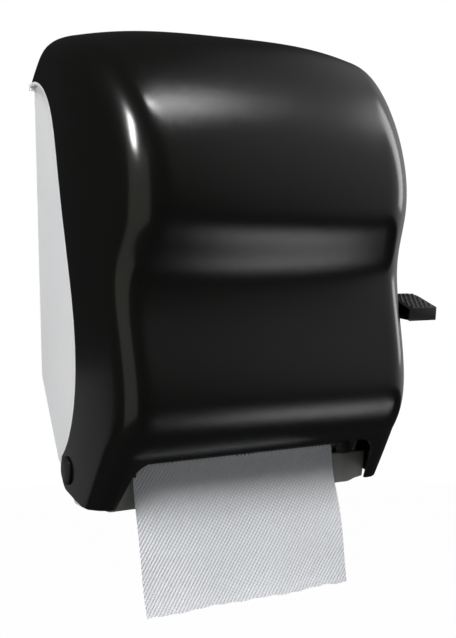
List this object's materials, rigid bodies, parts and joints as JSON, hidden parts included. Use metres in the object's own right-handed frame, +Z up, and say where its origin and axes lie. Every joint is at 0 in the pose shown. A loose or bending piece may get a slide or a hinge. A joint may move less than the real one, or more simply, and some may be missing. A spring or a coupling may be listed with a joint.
{
  "type": "paper towel dispenser",
  "caption": "Wall-mounted roll towel dispenser: wavy smoked front cover that swings down, white back unit, side lever, towel hanging from the mouth.",
  "frame": {"origin": "centre of the four wall screws on the plane of the wall", "axes": "+X to the user's right, +Y into the wall, +Z up; the user stands on the -Y side"},
  "size_m": [0.3337, 0.2352, 0.516],
  "materials": {
    "smoked_cover": "smoked translucent, fine satin grain on the front",
    "white_shell": "smooth moulded white",
    "black_plastic": "moulded black, slight sheen",
    "grey_frame": "moulded light grey",
    "nylon": "natural nylon",
    "steel": "plain zinc-coated",
    "spring_steel": "drawn wire",
    "lock_metal": "satin plated",
    "roller_rubber": "ground matte rubber",
    "paper": "embossed towel paper",
    "cardboard": "plain wound board"
  },
  "bodies": {
    "wall_unit": {"back_chassis": "white_shell", "frame_left": "grey_frame", "frame_right": "grey_frame", "frame_screws": "steel", "arm_screws": "steel", "tie_rods": "steel", "roll_arm_left": "grey_frame", "roll_arm_right": "grey_frame", "stub_cradle": "grey_frame", "tear_bar": "steel", "tear_bar_carrier": "black_plastic", "paper_guide": "grey_frame", "drive_bushes": "nylon", "lever_bushes": "nylon", "press_blocks": "nylon", "press_springs": "spring_steel", "return_spring": "spring_steel", "hinge_pin_left": "black_plastic", "hinge_pin_right": "black_plastic", "towel_tail": "paper"},
    "cover": {"front_cover": "smoked_cover"},
    "lock": {"lock_barrel": "lock_metal", "lock_cam": "steel"},
    "lever": {"lever_arm": "black_plastic", "lever_shaft": "steel", "lever_screw": "steel", "lever_clip": "spring_steel", "sector_gear": "nylon"},
    "pinion": {"drive_pinion": "nylon", "one_way_clutch": "steel"},
    "drive_roller": {"drive_shaft": "steel", "drive_roller": "black_plastic", "drive_roller_tyres": "roller_rubber"},
    "pressure_roller": {"press_shaft": "steel", "press_roller": "black_plastic", "press_roller_tyres": "roller_rubber"},
    "roll": {"towel_roll": "paper", "roll_core": "cardboard", "roll_hub_left": "black_plastic", "roll_hub_right": "black_plastic"},
    "transfer": {"transfer_bar": "grey_frame"}
  },
  "joints": [
    {"name": "cover_open", "type": "hinge", "parent": "wall_unit", "child": "cover", "pos_m": [0, -0.096, -0.205], "axis": [1, 0, 0], "range_deg": [0, 95], "deforming": ["towel_tail"]},
    {"name": "key_turn", "type": "hinge", "parent": "cover", "child": "lock", "pos_m": [0, -0.074, 0.17], "axis": [0, 0, 1], "range_deg": [0, 90]},
    {"name": "lever_press", "type": "hinge", "parent": "wall_unit", "child": "lever", "pos_m": [0, -0.09, -0.105], "axis": [1, 0, 0], "range_deg": [0, 45], "stiffness_Nm_per_rad": 0.6, "springref_deg": -28.65},
    {"name": "pinion_turn", "type": "hinge", "parent": "wall_unit", "child": "pinion", "pos_m": [0, -0.154, -0.16169], "axis": [1, 0, 0], "range_deg": [-212, 0]},
    {"name": "drive_turn", "type": "hinge", "parent": "wall_unit", "child": "drive_roller", "pos_m": [0, -0.154, -0.16169], "axis": [1, 0, 0], "range_deg": [-212, 0]},
    {"name": "pressure_turn", "type": "hinge", "parent": "wall_unit", "child": "pressure_roller", "pos_m": [0, -0.12193, -0.16459], "axis": [1, 0, 0], "range_deg": [0, 386]},
    {"name": "roll_turn", "type": "hinge", "parent": "wall_unit", "child": "roll", "pos_m": [0, -0.12, 0.045], "axis": [1, 0, 0], "range_deg": [0, 50]},
    {"name": "transfer_lift", "type": "hinge", "parent": "wall_unit", "child": "transfer", "pos_m": [0, -0.048, -0.07], "axis": [1, 0, 0], "range_deg": [-40, 0]}
  ],
  "couplings": [
    {"joint": "pinion_turn", "follows": "lever_press", "ratio": -4.7},
    {"joint": "drive_turn", "follows": "lever_press", "ratio": -4.7},
    {"joint": "pressure_turn", "follows": "lever_press", "ratio": 8.5455},
    {"joint": "roll_turn", "follows": "lever_press", "ratio": 1.0928}
  ]
}
